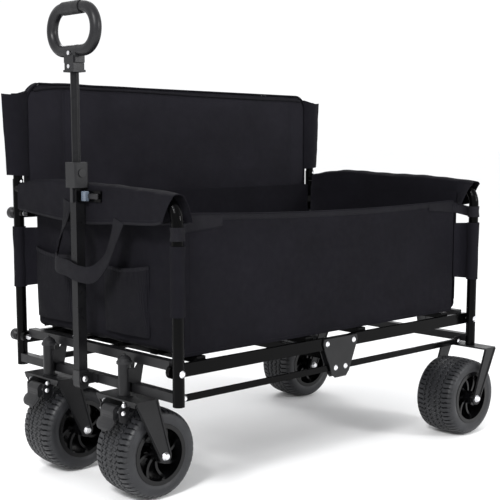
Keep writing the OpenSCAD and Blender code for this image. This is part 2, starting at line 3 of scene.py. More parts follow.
import bmesh
import bpy
import numpy as np
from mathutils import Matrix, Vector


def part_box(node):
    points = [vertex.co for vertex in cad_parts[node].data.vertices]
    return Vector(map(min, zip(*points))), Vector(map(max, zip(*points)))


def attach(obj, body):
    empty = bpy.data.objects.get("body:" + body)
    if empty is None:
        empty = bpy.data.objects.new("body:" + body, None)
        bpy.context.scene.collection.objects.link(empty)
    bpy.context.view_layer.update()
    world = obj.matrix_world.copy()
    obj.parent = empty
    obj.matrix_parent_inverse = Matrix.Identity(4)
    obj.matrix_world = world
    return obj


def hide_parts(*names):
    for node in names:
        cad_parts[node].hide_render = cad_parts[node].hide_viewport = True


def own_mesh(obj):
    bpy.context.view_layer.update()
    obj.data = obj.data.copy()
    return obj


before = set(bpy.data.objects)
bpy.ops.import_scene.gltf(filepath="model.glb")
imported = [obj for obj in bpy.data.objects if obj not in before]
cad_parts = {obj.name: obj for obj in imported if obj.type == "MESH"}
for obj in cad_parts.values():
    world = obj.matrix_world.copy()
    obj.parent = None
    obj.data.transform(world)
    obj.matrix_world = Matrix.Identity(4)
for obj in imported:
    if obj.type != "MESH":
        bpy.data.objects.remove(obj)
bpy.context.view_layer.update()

# Lengths below are in millimetres unless a name says otherwise; MM turns them into metres.
MM = 0.001
scene = bpy.context.scene


def mid(node, axis):
    low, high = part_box(node)
    return (low[axis] + high[axis]) / 2 / MM


FX, RX = mid("front_pole", 0), mid("rear_pole", 0)  # the front and the rear posts along X
MX = (FX + RX) / 2  # the middle of the frame
PY = mid("front_pole", 1)  # the far posts' Y; the near posts stand at -PY
HANDLE_X = mid("handle_tube", 0)
TUB_X = 462.0  # half length of the tub
SIDE_Y = 266.6  # middle of the cloth of the tub's long sides
END_X = 474.0  # middle of the cloth of the tub's short sides, from MX
POST_X = {-1: FX, 1: RX}  # the posts' X by end: -1 at the handle, 1 at the rear
PANEL_LOW = 352.0  # where the short sides' upright part starts, and their pockets
CLOTH_MM = 1.4  # thickness of the tub's cloth

# ---------------------------------------------------------------- camera, floor, lights

CAMERA_AT = (-1.8723, -1.9911, 0.7748)
YAW, PITCH = math.radians(43.16), math.radians(7.64)
lens = bpy.data.cameras.new("camera")
lens.sensor_width, lens.lens, lens.shift_y = 36, 78.3, 0.0698
lens.clip_end = 200
camera = bpy.data.objects.new("camera", lens)
camera.location = CAMERA_AT
camera.rotation_euler = (math.pi / 2 - PITCH, 0, -YAW)
scene.collection.objects.link(camera)
scene.camera = camera


def area_light(name, at, to, size, watts):
    data = bpy.data.lights.new(name, "AREA")
    data.shape, data.size, data.energy = "SQUARE", size, watts
    lamp = bpy.data.objects.new(name, data)
    lamp.location = at
    aim = np.array(to, float) - np.array(at, float)
    lamp.rotation_euler = (
        math.acos(-aim[2] / np.linalg.norm(aim)), 0, math.atan2(aim[1], aim[0]) - math.pi / 2)
    scene.collection.objects.link(lamp)


area_light("key", (-2.9, -1.5, 2.6), (0, 0, 0.4), 0.7, 110)
area_light("fill", (1.4, -3.4, 1.7), (0, 0, 0.4), 0.8, 60)
area_light("back", (1.5, 3.0, 3.0), (0, 0, 0.5), 1.4, 30)

world = bpy.data.worlds.new("studio")
world.use_nodes = True
world.node_tree.nodes["Background"].inputs[0].default_value = (0.985, 0.99, 1.0, 1)
world.node_tree.nodes["Background"].inputs[1].default_value = 1.06
scene.world = world
scene.view_settings.view_transform = "Standard"

# ---------------------------------------------------------------- materials


class Nodes:
    """Short names for the nodes of one material."""

    def __init__(self, name, colour, roughness, metallic=0.0, specular=0.5, sheen=0.0):
        self.material = bpy.data.materials.new(name)
        self.material.use_nodes = True
        self.tree = self.material.node_tree
        self.shader = self.tree.nodes["Principled BSDF"]
        self.colour = colour
        self.set("Base Color", (*colour, 1))
        self.set("Roughness", roughness)
        self.set("Metallic", metallic)
        self.set("Specular IOR Level", specular)
        if sheen:
            self.set("Sheen Weight", sheen)
            self.set("Sheen Roughness", 0.5)
        self.place = self.add("ShaderNodeTexCoord").outputs["Object"]
        self.height = None  # the normal of the last bump, which the next one builds on

    def set(self, socket, value):
        self.shader.inputs[socket].default_value = value

    def add(self, kind, **values):
        node = self.tree.nodes.new(kind)
        for key, value in values.items():
            setattr(node, key, value)
        return node

    def link(self, out, into):
        self.tree.links.new(out, into)

    def maths(self, operation, a, b=None):
        node = self.add("ShaderNodeMath", operation=operation)
        for i, value in enumerate((a, b)):
            if value is None:
                continue
            if isinstance(value, (int, float)):
                node.inputs[i].default_value = value
            else:
                self.link(value, node.inputs[i])
        return node.outputs[0]

    def noise(self, scale, detail=3.0, rough=0.5, stretch=None):
        node = self.add("ShaderNodeTexNoise")
        node.inputs["Scale"].default_value = scale
        node.inputs["Detail"].default_value = detail
        node.inputs["Roughness"].default_value = rough
        place = self.place
        if stretch:
            mapping = self.add("ShaderNodeMapping")
            mapping.inputs["Scale"].default_value = stretch
            self.link(place, mapping.inputs["Vector"])
            place = mapping.outputs[0]
        self.link(place, node.inputs["Vector"])
        return node.outputs["Fac"]

    def spread(self, value, low, high, to_low, to_high):
        node = self.add("ShaderNodeMapRange")
        self.link(value, node.inputs["Value"])
        for i, number in enumerate((low, high, to_low, to_high)):
            node.inputs[i + 1].default_value = number
        return node.outputs["Result"]

    def tint(self, value, low, high, darker, lighter):
        """Base colour between the colour times darker and times lighter, as value goes from low to high."""
        ramp = self.add("ShaderNodeValToRGB")
        ramp.color_ramp.elements[0].position = low
        ramp.color_ramp.elements[1].position = high
        ramp.color_ramp.elements[0].color = (*[c * darker for c in self.colour], 1)
        ramp.color_ramp.elements[1].color = (*[c * lighter for c in self.colour], 1)
        self.link(value, ramp.inputs[0])
        self.link(ramp.outputs[0], self.shader.inputs["Base Color"])

    def vary_roughness(self, value, low, high):
        self.link(self.spread(value, 0.3, 0.7, low, high), self.shader.inputs["Roughness"])

    def bump(self, height, metres):
        node = self.add("ShaderNodeBump")
        node.inputs["Strength"].default_value = 1.0
        node.inputs["Distance"].default_value = metres
        self.link(height, node.inputs["Height"])
        if self.height is not None:
            self.link(self.height, node.inputs["Normal"])
        self.height = node.outputs["Normal"]
        self.link(self.height, self.shader.inputs["Normal"])

    def weave(self, period):
        """Height of a plain weave with that thread spacing in metres, on upright and level faces alike."""
        split = self.add("ShaderNodeSeparateXYZ")
        self.link(self.place, split.inputs[0])
        k = 2 * math.pi / period
        along = self.maths("SINE", self.maths(
            "MULTIPLY", self.maths("ADD", split.outputs[0], split.outputs[1]), k))
        across = self.maths("SINE", self.maths("MULTIPLY", split.outputs[2], k))
        return self.maths("ADD", self.maths("MULTIPLY", along, across), along)


def cloth_material(name, colour, period, weave_m, ripples_m=0.0012, sheen=0.004, roughness=0.78):
    m = Nodes(name, colour, roughness, specular=0.065, sheen=sheen)
    m.tint(m.noise(7, 5, 0.6), 0.3, 0.7, 0.82, 1.22)
    m.bump(m.noise(26, 4, 0.6), ripples_m)
    m.bump(m.weave(period), weave_m)
    m.vary_roughness(m.noise(60, 2), roughness - 0.06, roughness + 0.08)
    return m.material


def paint_material(name, colour, roughness, specular, orange_m=0.00006):
    m = Nodes(name, colour, roughness, specular=specular)
    m.tint(m.noise(14, 4, 0.7), 0.35, 0.7, 0.85, 1.25)
    m.vary_roughness(m.noise(45, 4, 0.7), roughness * 0.8, roughness * 1.3)
    m.bump(m.noise(900, 2), orange_m)
    return m.material


def plastic_material(name, colour, roughness, grain_m=0.00008, specular=0.28):
    m = Nodes(name, colour, roughness, specular=specular)
    m.tint(m.noise(20, 4, 0.6), 0.3, 0.75, 0.88, 1.18)
    m.vary_roughness(m.noise(70, 3), roughness * 0.85, roughness * 1.15)
    m.bump(m.noise(1400, 2), grain_m)
    return m.material


def steel_material():
    m = Nodes("zinc", (0.72, 0.72, 0.74), 0.3, metallic=0.95)
    m.tint(m.noise(120, 4, 0.6), 0.3, 0.7, 0.8, 1.15)
    m.vary_roughness(m.noise(300, 3), 0.24, 0.42)
    m.bump(m.noise(1500, 2, stretch=(1, 1, 6)), 0.00004)
    return m.material


# shade scales the rubber's colour; below 1 it gives a darker copy that paints shade into the tread's grooves
def tyre_material(name, shade, specular):
    m = Nodes(name, [c * shade for c in (0.013, 0.0135, 0.0155)], 0.46, specular=specular)
    m.tint(m.noise(16, 6, 0.65), 0.3, 0.72, 0.7, 1.4)
    m.vary_roughness(m.noise(50, 4), 0.4, 0.56)
    m.bump(m.noise(1100, 3), 0.00012)
    return m.material


CLOTH = cloth_material("cloth", (0.0052, 0.0049, 0.0071), 0.0011, 0.00012)
PAD_CLOTH = cloth_material("pad_cloth", (0.0102, 0.0097, 0.013), 0.0011, 0.00012, 0.0016)
LINING = cloth_material("lining", (0.003, 0.0029, 0.0042), 0.0011, 0.00010, 0.001)
WEBBING = cloth_material("webbing", (0.0085, 0.0082, 0.0105), 0.0024, 0.0004, 0.0004, 0.01, 0.7)
MESH_CLOTH = cloth_material("pocket_net", (0.0052, 0.005, 0.007), 0.0032, 0.0006, 0.001, 0.01, 0.75)
THREAD = cloth_material("thread", (0.014, 0.0138, 0.017), 0.0008, 0.0001, 0.0001, 0.01, 0.7)
GLOSS = paint_material("gloss_black", (0.0011, 0.0011, 0.0012), 0.15, 0.05)
SATIN = paint_material("satin_black", (0.007, 0.007, 0.0077), 0.34, 0.2, 0.0001)
PLASTIC = plastic_material("matte_plastic", (0.009, 0.009, 0.01), 0.45)
GRIP = plastic_material("grip_plastic", (0.0085, 0.0085, 0.0096), 0.36, specular=0.22)
SOFT_GRIP = plastic_material("grip_rubber", (0.009, 0.009, 0.01), 0.55, 0.0002)
RIM = plastic_material("rim_plastic", (0.002, 0.002, 0.0023), 0.2, specular=0.25)
BUMPER = plastic_material("bumper_rubber", (0.006, 0.006, 0.0068), 0.45)
CLIP_GREY = plastic_material("clip_grey", (0.09, 0.11, 0.14), 0.22, specular=0.5)
TUBE_BLACK = paint_material("handle_black", (0.0065, 0.0065, 0.0072), 0.3, 0.12)
STEEL = steel_material()
TYRE = tyre_material("tyre_rubber", 1, 0.34)
# a darker copy of the rubber: painted shade for the shadow down in the tread's grooves
PAINTED_GROOVE_SHADE = tyre_material("tyre_groove_painted_shade", 0.4, 0.08)

NODE_LOOKS = {
    "bolts": STEEL, "rivets": STEEL, "bolt": STEEL, "screws": STEEL, "axle": STEEL, "axles": STEEL,
    "tyre": TYRE, "rim": RIM, "grip": GRIP, "handle_collar": GRIP, "grip_pad": SOFT_GRIP,
    "bumpers": BUMPER, "handle_socket": PLASTIC, "handle_clip": GLOSS, "stem_caps": PLASTIC,
    "pedal": PLASTIC, "fork": SATIN, "forks": SATIN, "handle_bracket": SATIN,
    "caster_stems": SATIN, "handle_button": PLASTIC, "front_crossbar": SATIN,
    "rear_crossbar": SATIN, "centre_plates": SATIN, "front_floor_board": LINING,
    "rear_floor_board": LINING, "handle_tube": TUBE_BLACK, "slide_tube": TUBE_BLACK,
}
for node_name, node_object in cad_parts.items():
    look = NODE_LOOKS.get(node_name) or NODE_LOOKS.get(node_name.split("_")[-1]) or GLOSS
    if not node_object.material_slots:
        node_object.data.materials.append(None)
    for material_slot in node_object.material_slots:
        material_slot.link = "OBJECT"
        material_slot.material = look

# ---------------------------------------------------------------- mesh helpers


def build(name, points, faces, look, sharp_deg=38):
    """A mesh object from points in millimetres, smooth except along edges sharper than sharp_deg."""
    data = bpy.data.meshes.new(name)
    data.from_pydata([tuple(p) for p in np.asarray(points, float) * MM], [], [tuple(f) for f in faces])
    work = bmesh.new()
    work.from_mesh(data)
    bmesh.ops.remove_doubles(work, verts=work.verts, dist=1e-6)
    bmesh.ops.recalc_face_normals(work, faces=work.faces)
    for edge in work.edges:
        edge.smooth = len(edge.link_faces) == 2 and edge.calc_face_angle(0) < math.radians(sharp_deg)
    for face in work.faces:
        face.smooth = True
    work.to_mesh(data)
    work.free()
    data.materials.append(look)
    piece = bpy.data.objects.new(name, data)
    scene.collection.objects.link(piece)
    return piece


def grid_faces(nu, nv, closed_u=False, closed_v=False, start=0, flip=False):
    faces = []
    for i in range(nu if closed_u else nu - 1):
        for j in range(nv if closed_v else nv - 1):
            a, b = i * nv + j, ((i + 1) % nu) * nv + j
            c, d = ((i + 1) % nu) * nv + (j + 1) % nv, i * nv + (j + 1) % nv
            quad = [start + a, start + b, start + c, start + d]
            faces.append(quad[::-1] if flip else quad)
    return faces


def surface_normals(grid, closed_u=False):
    if closed_u:
        du = np.roll(grid, -1, 0) - np.roll(grid, 1, 0)
    else:
        du = np.gradient(grid, axis=0)
    dv = np.gradient(grid, axis=1)
    n = np.cross(du, dv)
    return n / (np.linalg.norm(n, axis=2, keepdims=True) + 1e-12)


def shell(name, grid, thick, look, closed_u=False, sharp_deg=38):
    """A sheet of the given thickness whose middle is the grid of points, closed round its edges."""
    grid = np.asarray(grid, float)
    nu, nv = grid.shape[:2]
    n = surface_normals(grid, closed_u)
    outer, inner = grid + n * thick / 2, grid - n * thick / 2
    count = nu * nv
    faces = grid_faces(nu, nv, closed_u) + grid_faces(nu, nv, closed_u, start=count, flip=True)
    for i in range(nu if closed_u else nu - 1):
        k = (i + 1) % nu
        for j in (0, nv - 1):
            faces.append([i * nv + j, k * nv + j, count + k * nv + j, count + i * nv + j])
    if not closed_u:
        for i in (0, nu - 1):
            for j in range(nv - 1):
                faces.append([i * nv + j, i * nv + j + 1, count + i * nv + j + 1, count + i * nv + j])
    points = np.concatenate([outer.reshape(-1, 3), inner.reshape(-1, 3)])
    return build(name, points, faces, look, sharp_deg)


def ripple(a, b, seed, size, count=7):
    """Smooth uneven waves between -1 and 1, about size millimetres long."""
    r = np.random.default_rng(seed)
    total = np.zeros(np.broadcast(a, b).shape)
    for _ in range(count):
        angle, phase = r.uniform(0, math.pi), r.uniform(0, 2 * math.pi)
        k = 2 * math.pi / (size * r.uniform(0.6, 1.8))
        total = total + np.sin(k * (a * math.cos(angle) + b * math.sin(angle)) + phase)
    return total / count * 1.8


def curve_through(xs, ys):
    """A smooth function through the given points."""
    xs, ys = np.array(xs, float), np.array(ys, float)
    slopes = np.gradient(ys, xs)

    def value(x):
        x = np.clip(x, xs[0], xs[-1])
        i = np.clip(np.searchsorted(xs, x) - 1, 0, len(xs) - 2)
        h = xs[i + 1] - xs[i]
        t = (x - xs[i]) / h
        return (ys[i] * (1 + 2 * t) * (1 - t) ** 2 + slopes[i] * h * t * (1 - t) ** 2
                + ys[i + 1] * t * t * (3 - 2 * t) + slopes[i + 1] * h * t * t * (t - 1))

    return value


def smooth_path(points, steps):
    """Points on a smooth line through the given ones, evenly spread."""
    points = np.array(points, float)
    far = np.concatenate([[0], np.cumsum(np.linalg.norm(np.diff(points, axis=0), axis=1))])
    at = np.linspace(0, far[-1], steps)
    return np.stack([curve_through(far, points[:, k])(at) for k in range(points.shape[1])], 1)


def frames_along(path, up):
    """Unit directions along, across and out of a line."""
    along = np.gradient(path, axis=0)
    along /= np.linalg.norm(along, axis=1, keepdims=True)
    across = np.cross(along, np.broadcast_to(np.asarray(up, float), path.shape))
    across /= np.linalg.norm(across, axis=1, keepdims=True) + 1e-12
    return along, across, np.cross(across, along)


def rod(name, path, radius, look, sides=8, flat=1.0, up=(0, 0, 1)):
    """A round or flattened cord of piping along a line, with closed ends."""
    path = np.asarray(path, float)
    _, across, out = frames_along(path, up)
    turn = np.linspace(0, 2 * math.pi, sides, endpoint=False)
    rings = (path[:, None] + across[:, None] * (np.cos(turn) * radius)[None, :, None]
             + out[:, None] * (np.sin(turn) * radius * flat)[None, :, None])
    count = len(path)
    faces = grid_faces(count, sides, closed_v=True)
    faces += [list(range(sides))[::-1], [(count - 1) * sides + i for i in range(sides)]]
    return build(name, rings.reshape(-1, 3), faces, look, 60)


def stitches(name, paths, out, length=3.2, gap=2.0, radius=0.45):
    """Dashes of thread along lines, standing a little out of the cloth in the direction out."""
    points, faces = [], []
    for path in paths:
        path = np.asarray(path, float)
        far = np.concatenate([[0], np.cumsum(np.linalg.norm(np.diff(path, axis=0), axis=1))])
        normal = np.asarray(out, float)
        for s in np.arange(gap, far[-1] - length, length + gap):
            ends = np.stack([np.interp([s, s + length], far, path[:, k]) for k in range(3)], 1)
            along = (ends[1] - ends[0]) / (np.linalg.norm(ends[1] - ends[0]) + 1e-9)
            side = np.cross(along, normal)
            side /= np.linalg.norm(side) + 1e-9
            start = len(points)
            for t, w in ((0, 0.3), (0.25, 1), (0.75, 1), (1, 0.3)):
                centre = ends[0] + (ends[1] - ends[0]) * t
                points += [centre + side * radius * w, centre + normal * radius * w * 1.2,
                           centre - side * radius * w, centre - normal * radius * w * 0.6]
            for k in range(3):
                for q in range(4):
                    a, b = start + 4 * k + q, start + 4 * k + (q + 1) % 4
                    faces.append([a, b, b + 4, a + 4])
            faces += [[start, start + 3, start + 2, start + 1],
                      [start + 12, start + 13, start + 14, start + 15]]
    return build(name, points, faces, THREAD, 60)


def fold_with(piece, body):
    """Attaches a soft piece to a body and gives it a mesh of its own."""
    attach(piece, body)
    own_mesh(piece)


def settle(piece, pressure, cap, limits, pinned, frames=20, voxel=6.0, stiffness=12.0):
    """Remeshes a padded piece and swells it with a cloth simulation; no point moves more than cap.

    pinned says which points are held, and limits puts all of them in their place at the end.
    """
    remesh = piece.modifiers.new("remesh", "REMESH")
    remesh.mode, remesh.voxel_size = "VOXEL", voxel * MM
    bpy.context.view_layer.update()
    graph = bpy.context.evaluated_depsgraph_get()
    fresh = bpy.data.meshes.new_from_object(piece.evaluated_get(graph))
    piece.modifiers.clear()
    fresh.materials.clear()
    fresh.materials.append(piece.data.materials[0])
    piece.data = fresh
    count = len(fresh.vertices)
    before = np.zeros(count * 3)
    fresh.vertices.foreach_get("co", before)
    before = before.reshape(-1, 3)
    pins = piece.vertex_groups.new(name="pin")
    for i in np.nonzero(pinned(before / MM))[0]:
        pins.add([int(i)], 1.0, "REPLACE")
    cloth = piece.modifiers.new("cloth", "CLOTH")
    cloth.settings.quality = 4
    cloth.settings.mass = 0.25
    cloth.settings.tension_stiffness = stiffness
    cloth.settings.compression_stiffness = stiffness
    cloth.settings.shear_stiffness = 5
    cloth.settings.bending_stiffness = 0.6
    cloth.settings.use_pressure = True
    cloth.settings.uniform_pressure_force = pressure
    cloth.settings.effector_weights.gravity = 0
    cloth.settings.vertex_group_mass = "pin"
    cloth.collision_settings.use_collision = False
    cloth.point_cache.frame_end = frames
    for f in range(1, frames + 1):
        scene.frame_set(f)
    graph = bpy.context.evaluated_depsgraph_get()
    swelled = bpy.data.meshes.new_from_object(piece.evaluated_get(graph))
    after = np.zeros(count * 3)
    swelled.vertices.foreach_get("co", after)
    bpy.data.meshes.remove(swelled)
    piece.modifiers.clear()
    piece.vertex_groups.clear()
    scene.frame_set(1)
    move = after.reshape(-1, 3) - before
    length = np.linalg.norm(move, axis=1, keepdims=True)
    move *= np.minimum(1, cap * MM / np.maximum(length, 1e-9))
    before = before + move
    before = limits(before / MM) * MM
    fresh.vertices.foreach_set("co", before.astype(np.float32).ravel())
    for polygon in fresh.polygons:
        polygon.use_smooth = True
    fresh.update()


# ---------------------------------------------------------------- floor of the studio

FLOOR_M, UNDER_M = 60.0, -0.0006  # half its width, and its height just under the tyres
floor_mesh = bpy.data.meshes.new("floor")
floor_mesh.from_pydata([(x * FLOOR_M, y * FLOOR_M, UNDER_M) for x, y in ((-1, -1), (1, -1), (1, 1), (-1, 1))],
                       [], [(0, 1, 2, 3)])
floor = bpy.data.objects.new("studio_floor", floor_mesh)
floor_look = Nodes("pale_floor", (0.96, 0.96, 0.962), 0.9, specular=0.05)
floor_look.tint(floor_look.noise(0.6, 2), 0.3, 0.7, 0.995, 1.005)
floor_mesh.materials.append(floor_look.material)
scene.collection.objects.link(floor)

# ---------------------------------------------------------------- tyres

TYRE_R = (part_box("front_near_tyre")[1][2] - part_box("front_near_tyre")[0][2]) / 2 / MM
TYRE_HALF = (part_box("front_near_tyre")[1][1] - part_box("front_near_tyre")[0][1]) / 2 / MM
TREAD_HALF = 45.6  # half the width of the tread
BEAD_R = 64.3  # radius of the tyre's inner edge
ZIGZAGS = 48  # of the tread, round the tyre
GROOVE_MM = 2.8  # depth of the tread's long grooves


def crown_radius(w):
    """The tread's radius before its grooves, at a distance from the tyre's middle."""
    return TYRE_R - 3.1 * (np.abs(w) / TREAD_HALF) ** 2.4


def tyre_points():
    """Half-width and radius round the tyre's section, from one bead to the other."""
    half = [(50.0, BEAD_R), (53.5, 66), (55.2, 69), (55.4, 71), (56.4, 72.5), (56.9, 77), (57.0, 82),
            (56.4, 86), (55.0, 89.6), (52.8, 92.6), (50.0, 94.8), (47.5, 96.2)]
    half = [(w * TYRE_HALF / 57, r + TYRE_R - 100) for w, r in half]
    tread = np.linspace(TREAD_HALF, -TREAD_HALF, 50)
    return half, list(zip(tread, crown_radius(tread))), [(-w, r) for w, r in half[::-1]]


def triangle_wave(x):
    return 2 * np.abs(2 * (x - np.floor(x + 0.5))) - 1


def tread_depth(w, turn):
    """How deep the tread's grooves are at that width and that part of a turn, in millimetres."""
    zig = triangle_wave(turn * ZIGZAGS)
    depth = np.zeros_like(w)
    for groove in (-25.0, -9.0, 9.0, 25.0):
        away = np.abs(w - groove - 2.6 * zig)
        depth = np.maximum(depth, GROOVE_MM * np.clip((1.7 - away) / 0.8, 0, 1))
    for rib, shift in ((-17.0, 0.0), (0.0, 0.5), (17.0, 0.0)):
        across = np.abs(triangle_wave(turn * ZIGZAGS + shift + w * 0.012)) < 0.13
        depth = np.maximum(depth, np.where((np.abs(w - rib) < 5.6) & across, 2.2, 0))
    shoulder = (np.abs(w) > 30) & (triangle_wave(turn * ZIGZAGS + np.abs(w) * 0.01) > 0.6)
    return np.maximum(depth, np.where(shoulder, GROOVE_MM, 0))


def make_tyre_mesh():
    left, tread, right = tyre_points()
    section = np.array(left + tread + right)
    around = 480
    turn = np.arange(around) / around
    w = np.broadcast_to(section[:, 0], (around, len(section)))
    r = np.broadcast_to(section[:, 1], (around, len(section))).copy()
    t = np.broadcast_to(turn[:, None], w.shape)
    on_tread = np.zeros(len(section), bool)
    on_tread[len(left):len(left) + len(tread)] = True
    r[:, on_tread] -= tread_depth(w[:, on_tread], t[:, on_tread])
    lugs = (np.abs(w) > 46) & (r > 90)
    r -= np.where(lugs & (triangle_wave(t * ZIGZAGS + 0.45) > 0.6), 2.2, 0)
    angle = t * 2 * math.pi
    grid = np.stack([r * np.cos(angle), w, r * np.sin(angle)], 2)
    full = 2 * math.pi * turn
    bore = np.stack([BEAD_R * np.cos(full), np.zeros(around), BEAD_R * np.sin(full)], 1)
    both = np.concatenate([grid, bore[:, None]], 1)
    faces = grid_faces(around, both.shape[1], closed_u=True, closed_v=True)
    return both.reshape(-1, 3), faces


tyre_mm, tyre_faces = make_tyre_mesh()
shared_tyre = None
for end, side in (("front", "near"), ("front", "far"), ("rear", "near"), ("rear", "far")):
    node, body = f"{end}_{side}_tyre", f"{side}_{end}_wheel"
    if shared_tyre is None:
        tyre = build(f"tyre_{end}_{side}", tyre_mm, tyre_faces, TYRE, 30)
        shared_tyre = tyre.data
        shared_tyre.materials.append(PAINTED_GROOVE_SHADE)
        for face in shared_tyre.polygons:
            # faces down in the grooves take the darker copy of the rubber: painted shade where the grooves
            # lie in shadow
            at = face.center / MM
            crown = crown_radius(min(abs(at.y), TREAD_HALF))
            if abs(at.y) < 45 and math.hypot(at.x, at.z) < crown - GROOVE_MM / 2:
                face.material_index = 1
    else:
        tyre = bpy.data.objects.new(f"tyre_{end}_{side}", shared_tyre)
        scene.collection.objects.link(tyre)
    tyre.location = [mid(node, k) * MM for k in range(3)]
    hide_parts(node)
    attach(tyre, body)

# ---------------------------------------------------------------- the tub's long sides

FLOOR_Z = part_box("near_panel")[0][2] / MM  # lower edge of the tub's sides
near_top = curve_through([MX - TUB_X, MX - 300, MX, MX + 280, MX + TUB_X], [621, 614, 607, 608, 613])
far_top = curve_through([MX - TUB_X, MX, MX + TUB_X], [642, 640, 642])


def long_side(name, sign, top, seed, node):
    across, up = 161, 45
    x = np.linspace(MX - TUB_X, MX + TUB_X, across)[:, None]
    v = np.linspace(0, 1, up)[None, :]
    z = FLOOR_Z + 0.5 + (top(x) - FLOOR_Z - 0.5) * v
    x = x + 0 * v
    edge = np.minimum(1, np.minimum(v, 1 - v) * 5) * np.minimum(1, (TUB_X - np.abs(x - MX)) / 60)
    slack = 1.6 * ripple(x, z * 1.4, seed, 260) + 0.8 * ripple(x, z, seed + 1, 90)
    drag = 1.1 * np.sin((x * 0.6 + z * 1.5) / 26) * np.exp(-((TUB_X - np.abs(x - MX)) / 120) ** 2)
    y = sign * (SIDE_Y - 1.5 * edge * (0.5 + 0.5 * np.clip(slack + drag, -1, 1)))
    piece = shell(name, np.stack([x, y, z], 2), CLOTH_MM, CLOTH)
    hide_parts(node)
    fold_with(piece, "rear_end")


long_side("near_side", -1, near_top, 3, "near_panel")
long_side("far_side", 1, far_top, 9, "far_panel")


def side_line(top, lift, inset, sign, out, steps=120):
    """A line along a long side, lift above its top edge and out of its cloth."""
    x = np.linspace(MX - TUB_X + inset, MX + TUB_X - inset, steps)
    return np.stack([x, np.full(steps, sign * (SIDE_Y + out)), top(x) + lift], 1)


hem = side_line(near_top, -5, 0, -1, -0.3)
piece = rod("near_side_hem", hem, 7.0, WEBBING, 12, 0.28, (0, 1, 0))
fold_with(piece, "rear_end")
piece = rod("near_side_piping", side_line(near_top, 1.5, 0, -1, -0.5), 2.0, CLOTH, 10)
fold_with(piece, "rear_end")
piece = stitches("near_side_stitches",
                 [side_line(near_top, -10.2, 4, -1, 1.3, 300), side_line(near_top, -1.2, 4, -1, 1.6, 300),
                  [(MX - TUB_X + 15, -SIDE_Y - 1.0, FLOOR_Z + 8), (MX - TUB_X + 15, -SIDE_Y - 1.0, 604)],
                  [(MX + TUB_X - 15, -SIDE_Y - 1.0, FLOOR_Z + 8), (MX + TUB_X - 15, -SIDE_Y - 1.0, 596)],
                  [(MX - TUB_X + 4, -SIDE_Y - 0.9, FLOOR_Z + 8),
                   (MX + TUB_X - 4, -SIDE_Y - 0.9, FLOOR_Z + 8)]],
                 (0, -1, 0))
fold_with(piece, "rear_end")

# ---------------------------------------------------------------- the tub's short sides


def short_side(name, end, body, seed, node):
    """end is -1 at the handle, 1 at the rear."""
    across, up = 97, 45
    y = np.linspace(-SIDE_Y + 1, SIDE_Y - 1, across)[:, None]
    v = np.linspace(0, 1, up)[None, :]
    z = PANEL_LOW + (637 - PANEL_LOW) * v + 0 * y
    y = y + 0 * v
    edge = np.minimum(1, np.minimum(v, 1 - v) * 4) * np.minimum(1, (SIDE_Y - np.abs(y)) / 50)
    slack = 3.0 * ripple(y, z * 1.3, seed, 210) + 1.5 * ripple(y, z, seed + 1, 80)
    x = MX + end * (END_X + 1.5 + edge * (slack + 2.5))
    piece = shell(name, np.stack([x, y, z], 2), CLOTH_MM, CLOTH)
    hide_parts(node)
    fold_with(piece, body)
    # the foot of the panel turns in under the load and meets the stiff floor
    foot = smooth_path([(436, 326.4), (452, 326), (466, 328.5), (END_X + 0.5, 336),
                        (END_X + 1.5, PANEL_LOW)], 22)
    y = np.linspace(-SIDE_Y + 2.5, SIDE_Y - 2.5, across)[:, None] + 0 * foot[None, :, 0]
    sag = 1.2 * ripple(y, foot[None, :, 0], seed + 2, 60) * np.sin(np.linspace(0, math.pi, 22))[None, :]
    x = MX + end * (foot[None, :, 0] + 0 * y)
    sheet = shell(name + "_foot", np.stack([x, y, foot[None, :, 1] + sag], 2), CLOTH_MM, CLOTH)
    fold_with(sheet, body)


short_side("front_side", -1, "front_end", 21, "front_panel")
short_side("rear_side", 1, "rear_end", 33, "rear_panel")


def pocket(name, y0, y1, top_left, top_right, seed):
    """A gathered pocket on the handle end, open at the top, with an elastic binding."""
    across, up = 61, 41
    u = np.linspace(0, 1, across)[:, None]
    v = np.linspace(0, 1, up)[None, :]
    y = y0 + (y1 - y0) * u + 0 * v
    top = top_left + (top_right - top_left) * u - 7 * np.sin(math.pi * u)
    z = PANEL_LOW + (top - PANEL_LOW) * v
    belly = np.sin(math.pi * u) ** 0.45 * (0.35 + 0.65 * np.sin(math.pi * (0.12 + 0.62 * v)))
    gather = 0.6 * np.sin(u * (y1 - y0) / 2.2 + 2 * np.sin(u * 9)) * v ** 5 + 2.2 * ripple(y, z, seed, 70)
    face = MX - END_X - 4.5
    x = face - belly * 17 - gather * np.sin(math.pi * u) ** 0.5
    sheet = shell(name, np.stack([x, y, z], 2), 1.0, MESH_CLOTH)
    fold_with(sheet, "front_end")
    band = np.stack([x[:, -1] - 0.6, y[:, -1], z[:, -1]], 1)
    bind = rod(name + "_binding", band, 4.6, WEBBING, 12, 0.45, (1, 0, 0))
    fold_with(bind, "front_end")


pocket("right_pocket", -172, -14, 503, 497, 5)
pocket("left_pocket", 108, 262, 507, 516, 6)

# ---------------------------------------------------------------- sleeves over the end frames

sleeve_top = curve_through([-305, -262, -178, -54, 60, 140, 230, 274],
                           [664, 669, 674, 678, 682, 684, 678, 672])
sleeve_low = curve_through([-297, -255, -120, 0, 150, 240, 274],
                           [606, 602, 597, 591, 599, 607, 610])


